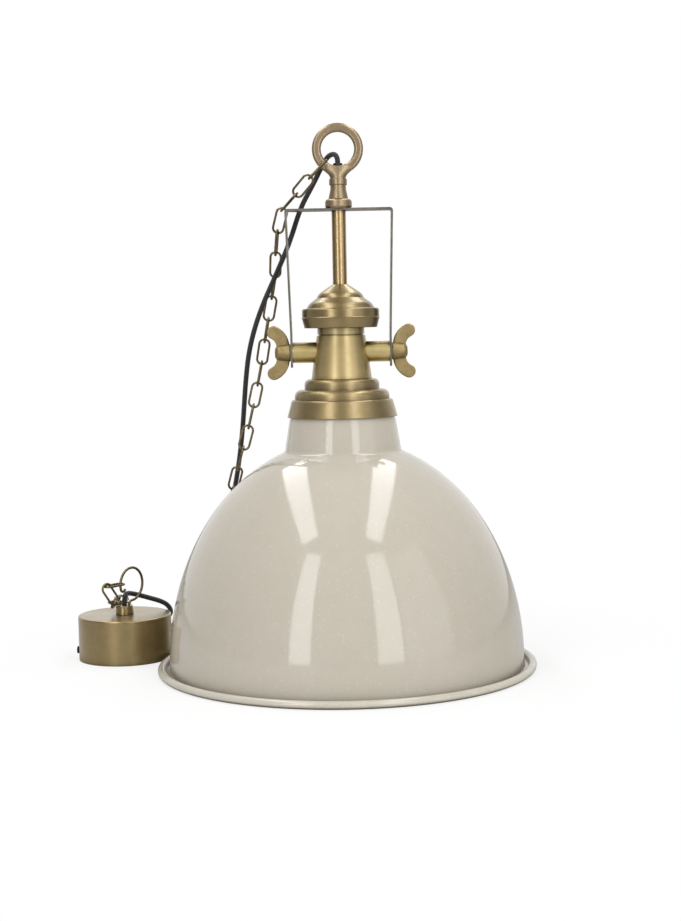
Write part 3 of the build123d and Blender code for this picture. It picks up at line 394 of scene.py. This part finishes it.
porcelain = {
    "ior": 1.48, "bright": paint(236, 233, 226), "dark": paint(226, 222, 212),
    "patchSize": 60.0, "patchCover": 0.5,
    # painted shade in the creases: its strength, its reach and its dark tone
    "crease": 0.5, "creaseReach": 0.004, "creaseTone": paint(168, 160, 146),
    "rub": 0.4, "rubWidth": 0.0006, "rubTone": paint(242, 240, 236),
    "roughness": 0.16, "roughDrift": 0.06, "smearScale": 2.0,
    "skinSize": 260.0, "skinDepth": 0.08, "skinHeight": 0.0003,
}
terminalPlastic = dict(porcelain, bright=paint(228, 226, 220), dark=paint(216, 213, 206), roughness=0.42,
                       skinSize=900.0, skinDepth=0.2)
blackRubber = dict(porcelain, bright=paint(30, 30, 31), dark=paint(20, 20, 21), roughness=0.55,
                   creaseTone=paint(10, 10, 10), rubTone=paint(58, 58, 60), skinSize=900.0, skinDepth=0.3)
brownCore = dict(blackRubber, bright=paint(104, 62, 36), dark=paint(86, 50, 30), roughness=0.45,
                 creaseTone=paint(50, 30, 18), rubTone=paint(128, 84, 56))
blueCore = dict(brownCore, bright=paint(40, 92, 168), dark=paint(32, 76, 144), creaseTone=paint(18, 44, 86),
                rubTone=paint(84, 128, 190))
earthCore = dict(brownCore, bright=paint(92, 150, 62), dark=paint(196, 180, 60), patchSize=240.0,
                 creaseTone=paint(48, 80, 32), rubTone=paint(160, 180, 90))


# braided black sleeve: two sets of strands cross over one another along the cable
def makeTextile(name, look):
    constants = {"Sheen Weight": look["sheen"], "Sheen Roughness": look["sheenRoughness"]}
    material, tree, shader, place = startMaterial(name, **constants)
    split = put(tree, "SeparateXYZ", {"Vector": put(tree, "TexCoord").outputs["UV"]}).outputs
    strands = []
    for way in (1, -1):
        along = sums(tree, "MULTIPLY", split["X"], look["crossings"])
        around = sums(tree, "MULTIPLY", split["Y"], way * look["strands"])
        wave = sums(tree, "SINE", sums(tree, "MULTIPLY", sums(tree, "ADD", along, around), 2 * math.pi))
        strands.append(spread(tree, wave, -1.0, 1.0))
    weave = sums(tree, "MAXIMUM", strands[0], strands[1])
    fuzz = noise(tree, place, look["fuzzSize"], look["fuzzDetail"], look["fuzzRoughness"])
    tone = blendColour(tree, spread(tree, weave, *look["strandTone"]), look["dark"], look["bright"])
    fluff = spread(tree, fuzz, *look["fluffEdge"], 0.0, look["fluffMost"])
    tone = blendColour(tree, fluff, tone, look["fluff"])
    tree.links.new(tone, shader.inputs["Base Color"])
    rough = spread(tree, weave, *look["strandPolish"], *look["roughness"])
    tree.links.new(rough, shader.inputs["Roughness"])
    height = sums(tree, "ADD", weave, sums(tree, "MULTIPLY", fuzz, look["fuzzShare"]))
    bumpInto(tree, shader, height, look["relief"], look["reliefHeight"])
    return material


blackTextile = {
    "dark": paint(14, 14, 14), "bright": paint(32, 31, 31), "fluff": paint(56, 55, 54), "crossings": 420.0,
    "strands": 8, "strandTone": (0.4, 1.0), "strandPolish": (0.3, 1.0), "roughness": (0.8, 0.56),
    "fuzzSize": 1500.0, "fuzzDetail": 3.0, "fuzzRoughness": 0.7, "fuzzShare": 0.3, "fluffEdge": (0.56, 0.76),
    "fluffMost": 0.5, "sheen": 0.25, "sheenRoughness": 0.5, "relief": 0.5, "reliefHeight": 0.0003,
}

# a material for each slot, and for the nodes that have a finish of their own
slotMaterials = {
    "brass": makeMetal("turnedBrass", turnedBrass),
    "old_brass": makeMetal("finialBrass", finialBrass),
    "bronze": makeMetal("chainBronze", chainBronze),
    "rose_brass": makeMetal("roseBrass", roseBrass),
    "dark_steel": makeMetal("strapSteel", strapSteel),
    "steel": makeMetal("zincSteel", zincSteel),
    "black_screw": makeMetal("blackSteel", blackSteel),
    "contact_brass": makeMetal("contactBrass", contactBrass),
    "porcelain": makePlain("porcelain", porcelain),
    "terminal_plastic": makePlain("terminalPlastic", terminalPlastic),
    "black_rubber": makePlain("blackRubber", blackRubber),
    "brown_core": makePlain("brownCore", brownCore),
    "blue_core": makePlain("blueCore", blueCore),
    "earth_core": makePlain("earthCore", earthCore),
    "black_textile": makeTextile("blackTextile", blackTextile),
    "enamel": makeEnamel("enamelOutside", enamelOutside),
}
nodeMaterials = {
    "stem_tube": makeMetal("stemBrass", stemBrass),
    "socket_housing": makeMetal("litHousingBrass", litHousingBrass),
    "rose_hook": makeMetal("hookBronze", hookBronze),
}
bossMaterial = makeMetal("bossBrass", bossBrass)
castMaterial = makeMetal("castBrass", castBrass)
for side in ("left", "right"):
    nodeMaterials[side + "_arm_boss"] = bossMaterial
    for fastener in ("_wing_nut", "_washer", "_stud"):
        nodeMaterials[side + fastener] = castMaterial
for name, node in nodes.items():
    slotName = node.data.materials[0].name
    node.data.materials.clear()
    node.data.materials.append(nodeMaterials.get(name) or slotMaterials[slotName])
print("materials on", len(nodes), "nodes")


# turned pieces: an outline of (across, up, rounding) in millimetres, spun round the axis
latheWork = {"arcStep": 5.0, "fullShare": 0.98, "sharpAngle": 32.0}


def roundCorners(corners):
    points = []
    for index, (across, up, rounding) in enumerate(corners):
        here = Vector((across, up))
        if not rounding:
            points.append(here)
            continue
        ways, limit = [], math.inf
        for neighbour in (corners[index - 1], corners[(index + 1) % len(corners)]):
            way = Vector(neighbour[:2]) - here
            limit = min(limit, way.length * latheWork["fullShare"] / (2 if neighbour[2] else 1))
            ways.append(way.normalized())
        turn = math.pi - ways[0].angle(ways[1])
        reach = min(rounding * math.tan(turn / 2), limit)
        radius = reach / math.tan(turn / 2)
        centre = here + (ways[0] + ways[1]).normalized() * radius / math.cos(turn / 2)
        start = here + ways[0] * reach - centre
        end = here + ways[1] * reach - centre
        steps = max(2, math.ceil(math.degrees(turn) / latheWork["arcStep"]))
        for step in range(steps + 1):
            share = step / steps
            arm = start * math.sin((1 - share) * turn) + end * math.sin(share * turn)
            points.append(centre + arm / math.sin(turn))
    return points


def lathe(name, line, around, finishes):
    # finishes holds the materials and, for each run of the line, which of them it takes
    mesh = bpy.data.meshes.new(name)
    work = bmesh.new()
    angles = [2 * math.pi * step / around for step in range(around)]
    rings = []
    for across, up in line:
        rings.append([work.verts.new((across * mm * math.cos(angle), across * mm * math.sin(angle), up * mm))
                      for angle in angles])
    for index, ring in enumerate(rings):
        following = rings[(index + 1) % len(rings)]
        for step in range(around):
            beside = (step + 1) % around
            face = work.faces.new((ring[step], ring[beside], following[beside], following[step]))
            face.smooth = True
            face.material_index = finishes["runs"][index]
    bmesh.ops.recalc_face_normals(work, faces=work.faces)
    work.to_mesh(mesh)
    work.free()
    mesh.set_sharp_from_angle(angle=math.radians(latheWork["sharpAngle"]))
    for material in finishes["materials"]:
        mesh.materials.append(material)
    piece = bpy.data.objects.new(name, mesh)
    bpy.context.scene.collection.objects.link(piece)
    return piece


# shade: its sizes in millimetres, then how finely it is drawn
shadeSize = {
    "rimRadius": 200.0, "beadRadius": 4.2, "wall": 1.5, "flangeLift": 1.2, "domeRadius": 187.0,
    "domeHeight": 233.0, "spring": 10.0, "top": 283.6, "neckFoot": (62.2, 62.0), "neckWaist": (56.0, 21.6),
    "crownRadius": 50.2, "crownRound": 2.5, "waistRound": 30.0, "shoulderRound": 6.0, "hole": 28.3,
    "shoulderRun": 3.4, "shoulderEase": 1.2, "domeSteps": 56, "beadSteps": 22, "around": 224, "halvings": 40,
}
shadeFinish = {"outside": 0, "rim": 1, "inside": 2}


def bellLine(inset):
    # from the hole in the crown down the neck, over the shoulder and down the half ellipse of the dome
    size = shadeSize
    crown = size["top"] - inset
    waist = Vector((size["neckWaist"][0] - inset, size["top"] - size["neckWaist"][1]))
    foot = Vector((size["neckFoot"][0] - inset, size["top"] - size["neckFoot"][1]))
    wide, tall = size["domeRadius"] - inset, size["domeHeight"] - inset

    def dome(angle):
        return Vector((wide * math.cos(angle), size["spring"] + tall * math.sin(angle)))

    # the neck's slope is followed down to where it meets the dome
    low, high = 0.0, math.pi / 2
    for _ in range(size["halvings"]):
        middle = (low + high) / 2
        at = dome(middle)
        share = (waist.y - at.y) / (waist.y - foot.y)
        if at.x > waist.x + share * (foot.x - waist.x):
            low = middle
        else:
            high = middle
    meeting = low
    start = meeting - size["shoulderRun"] / size["domeHeight"] * size["shoulderEase"]
    corners = [
        (size["hole"], crown, 0),
        (size["crownRadius"] - inset, crown, size["crownRound"]),
        (*waist, size["waistRound"]),
        (*dome(meeting), size["shoulderRound"]),
    ]
    for step in range(size["domeSteps"] + 1):
        corners.append((*dome(start * (1 - step / size["domeSteps"])), 0))
    return corners


def makeShade():
    size = shadeSize
    beadCentre = size["rimRadius"] - size["beadRadius"]
    flangeTop = size["flangeLift"] + size["wall"]
    outside = bellLine(0.0) + [(size["domeRadius"], flangeTop, size["wall"])]
    inside = bellLine(size["wall"])
    inside.append((size["domeRadius"] - size["wall"], size["flangeLift"], size["wall"]))
    bead = []
    upper = math.pi - math.asin((size["beadRadius"] - flangeTop) / -size["beadRadius"])
    lower = math.asin((size["beadRadius"] - size["flangeLift"]) / size["beadRadius"]) - math.pi
    for step in range(size["beadSteps"] + 1):
        angle = upper + (lower - upper) * step / size["beadSteps"]
        bead.append((beadCentre + size["beadRadius"] * math.cos(angle),
                     size["beadRadius"] * (1 + math.sin(angle)), 0))
    line = roundCorners(outside + bead + inside[::-1])
    runs = []
    for index, point in enumerate(line):
        following = line[(index + 1) % len(line)]
        middle = (point + following) / 2
        if middle.x > beadCentre - size["beadRadius"]:
            runs.append(shadeFinish["rim"])
        else:
            runs.append(shadeFinish["inside" if index > len(line) / 2 else "outside"])
    materials = [slotMaterials["enamel"], makeEnamel("litRimEnamel", litRimEnamel),
                 makeEnamel("enamelInside", enamelInside)]
    shade = lathe("enamelShade", line, size["around"], {"materials": materials, "runs": runs})
    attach(shade, "lamp")
    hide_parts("shade")
    return shade


shade = makeShade()
print("shade turned,", len(shade.data.polygons), "faces")

# cable: the same points as the solid one, in metres
cableLay = {"diameter": 0.0054, "length": 0.834, "exit": (0.0, 0.0, 0.5293),
            "roundSteps": 6, "alongSteps": 12, "order": 3}
cablePoints = [
    (0.0, 0.0, 0.5293), (0.0, 0.0, 0.5383), (-0.009, 0.008, 0.5393), (-0.017, 0.015, 0.5273),
    (-0.026, 0.019, 0.510), (-0.040, 0.020, 0.486), (-0.052, 0.022, 0.450), (-0.068, 0.023, 0.415),
    (-0.082, 0.026, 0.386), (-0.092, 0.031, 0.360), (-0.099, 0.037, 0.334), (-0.103, 0.045, 0.307),
    (-0.106, 0.055, 0.280), (-0.109, 0.066, 0.252), (-0.113, 0.074, 0.224), (-0.118, 0.081, 0.196),
    (-0.124, 0.092, 0.170), (-0.128, 0.111, 0.142), (-0.136, 0.151, 0.078), (-0.141, 0.169, 0.046),
    (-0.149, 0.183, 0.020), (-0.161, 0.192, 0.006), (-0.176, 0.1965, 0.003), (-0.192, 0.196, 0.006),
    (-0.204, 0.1915, 0.012), (-0.2115, 0.1825, 0.019), (-0.2135, 0.1705, 0.024), (-0.2115, 0.158, 0.0275),
    (-0.2075, 0.1455, 0.031), (-0.203, 0.133, 0.035), (-0.199, 0.121, 0.0405), (-0.198, 0.110, 0.0475),
    (-0.2015, 0.102, 0.0545), (-0.209, 0.098, 0.059), (-0.2185, 0.0955, 0.0623), (-0.2285, 0.093, 0.0658),
    (-0.2375, 0.0885, 0.069), (-0.2435, 0.0815, 0.0708), (-0.245, 0.075, 0.0672), (-0.245, 0.075, 0.0582),
]


def makeCable():
    curve = bpy.data.curves.new("blackCable", "CURVE")
    curve.dimensions = "3D"
    curve.bevel_depth = cableLay["diameter"] / 2
    curve.bevel_resolution = cableLay["roundSteps"]
    curve.resolution_u = cableLay["alongSteps"]
    curve.use_fill_caps = True
    spline = curve.splines.new("NURBS")
    spline.points.add(len(cablePoints) - 1)
    for point, place in zip(spline.points, cablePoints):
        point.co = (*place, 1.0)
    spline.order_u = cableLay["order"]
    spline.use_endpoint_u = True
    curve.materials.append(slotMaterials["black_textile"])
    cable = bpy.data.objects.new("blackCable", curve)
    bpy.context.scene.collection.objects.link(cable)
    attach(cable, "lamp")
    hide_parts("cable")


makeCable()
print("cable laid")

# floor and room light: a pale floor that keeps the soft shadow near the lamp and is clear from its underside,
# and a white room that is dimmer in front, where gloss mirrors it
studio = {
    "white": (1.0, 1.0, 1.0, 1.0), "floorSize": 14.0, "floorTone": 0.86, "nearLift": 0.72,
    "shadowReach": (0.26, 0.5), "floorInGloss": 0.6,
    "ambient": 0.35, "frontShade": 0.38, "backShade": 1.0, "shadeTurn": (0.1, 0.8),
}


def makeFloor():
    mesh = bpy.data.meshes.new("paleFloor")
    half = studio["floorSize"] / 2
    corners = [(-half, -half, 0), (half, -half, 0), (half, half, 0), (-half, half, 0)]
    mesh.from_pydata(corners, [], [(0, 1, 2, 3)])
    floor = bpy.data.objects.new("paleFloor", mesh)
    bpy.context.scene.collection.objects.link(floor)
    material = bpy.data.materials.new("paleFloor")
    material.use_nodes = True
    tree = material.node_tree
    tree.nodes.clear()
    rays = put(tree, "LightPath").outputs
    tone = spread(tree, rays["Is Glossy Ray"], 0.0, 1.0, studio["floorTone"], studio["floorInGloss"])
    matt = put(tree, "BsdfDiffuse", {"Color": grey(tree, tone)}).outputs[0]
    glow = put(tree, "Emission", {"Color": studio["white"], "Strength": 1.0}).outputs[0]
    place = put(tree, "TexCoord").outputs["Object"]
    away = put(tree, "VectorMath", {0: place}, operation="LENGTH").outputs["Value"]
    lift = spread(tree, away, *studio["shadowReach"], studio["nearLift"], 1.0)
    lift = sums(tree, "MULTIPLY", rays["Is Camera Ray"], lift)
    above = put(tree, "MixShader", {0: lift, 1: matt, 2: glow}).outputs[0]
    below = put(tree, "BsdfTransparent").outputs[0]
    under = put(tree, "NewGeometry").outputs["Backfacing"]
    mix = put(tree, "MixShader", {0: under, 1: above, 2: below}).outputs[0]
    tree.links.new(mix, put(tree, "OutputMaterial").inputs["Surface"])
    mesh.materials.append(material)


def makeWorld():
    world = bpy.data.worlds.new("studioWorld")
    bpy.context.scene.world = world
    world.use_nodes = True
    tree = world.node_tree
    tree.nodes.clear()
    way = put(tree, "SeparateXYZ", {"Vector": put(tree, "TexCoord").outputs["Generated"]}).outputs
    room = spread(tree, way["Y"], *studio["shadeTurn"], studio["frontShade"], studio["backShade"])
    rays = put(tree, "LightPath").outputs
    soft = sums(tree, "MULTIPLY", rays["Is Diffuse Ray"], studio["ambient"])
    gloss = sums(tree, "MULTIPLY", rays["Is Glossy Ray"], room)
    strength = sums(tree, "ADD", sums(tree, "ADD", soft, gloss), rays["Is Camera Ray"])
    strength = sums(tree, "ADD", strength, rays["Is Transmission Ray"], True)
    light = put(tree, "Background", {"Color": studio["white"], "Strength": strength}).outputs[0]
    tree.links.new(light, put(tree, "OutputWorld").inputs["Surface"])


# soft boxes: two upright strips and a wide one in front, and two that run front to back overhead
softBoxes = {
    "leftStrip": {"at": (-0.87, -1.62, 1.04), "aim": (0, 0, 0.55), "size": (0.42, 2.0), "power": 11.5},
    "rightStrip": {"at": (0.81, -1.65, 1.04), "aim": (0, 0, 0.55), "size": (0.5, 2.0), "power": 11.5},
    "rightSoftStrip": {"at": (1.5, -1.17, 0.98), "aim": (0, 0, 0.55), "size": (1.1, 1.9), "power": 5.0},
    "leftOverhead": {"at": (-0.69, 0.12, 1.65), "aim": (0, 0, 0.2), "size": (0.34, 2.3), "power": 13.5},
    "rightOverhead": {"at": (0.57, 0.08, 1.65), "aim": (0, 0, 0.2), "size": (0.32, 2.3), "power": 12.5},
}


def makeLights():
    for name, box in softBoxes.items():
        light = bpy.data.lights.new(name, "AREA")
        light.shape = "RECTANGLE"
        light.size, light.size_y = box["size"]
        light.energy = box["power"]
        lamp = bpy.data.objects.new(name, light)
        bpy.context.scene.collection.objects.link(lamp)
        back = (Vector(box["at"]) - Vector(box["aim"])).normalized()
        if name.endswith("Strip"):
            back = Vector((back.x, back.y, 0)).normalized()  # the strips stand upright
            side = Vector((0, 0, 1)).cross(back)
        else:
            side = Vector((0, 1, 0)).cross(back).normalized()  # the overhead boxes run front to back
        turn = Matrix((side, back.cross(side), back)).transposed()
        lamp.matrix_world = Matrix.Translation(box["at"]) @ turn.to_4x4()


makeFloor()
makeWorld()
makeLights()

# camera at the photograph's place: level with the housing, looking slightly down and a touch rolled
photoCamera = {"at": (-0.003, -1.678, 0.35), "pitch": 4.43, "roll": 1.1, "focalPixels": 1600.0,
               "longSide": 921.0, "sensor": 36.0}


def makeCamera():
    lens = bpy.data.cameras.new("photoCamera")
    lens.sensor_width = photoCamera["sensor"]
    lens.lens = lens.sensor_width * photoCamera["focalPixels"] / photoCamera["longSide"]
    camera = bpy.data.objects.new("photoCamera", lens)
    bpy.context.scene.collection.objects.link(camera)
    tilt = Matrix.Rotation(math.radians(90 - photoCamera["pitch"]), 4, "X")
    roll = Matrix.Rotation(math.radians(-photoCamera["roll"]), 4, "Z")
    camera.matrix_world = Matrix.Translation(photoCamera["at"]) @ tilt @ roll
    bpy.context.scene.camera = camera


makeCamera()
bpy.context.scene.view_settings.view_transform = "Standard"
print("studio and camera set")
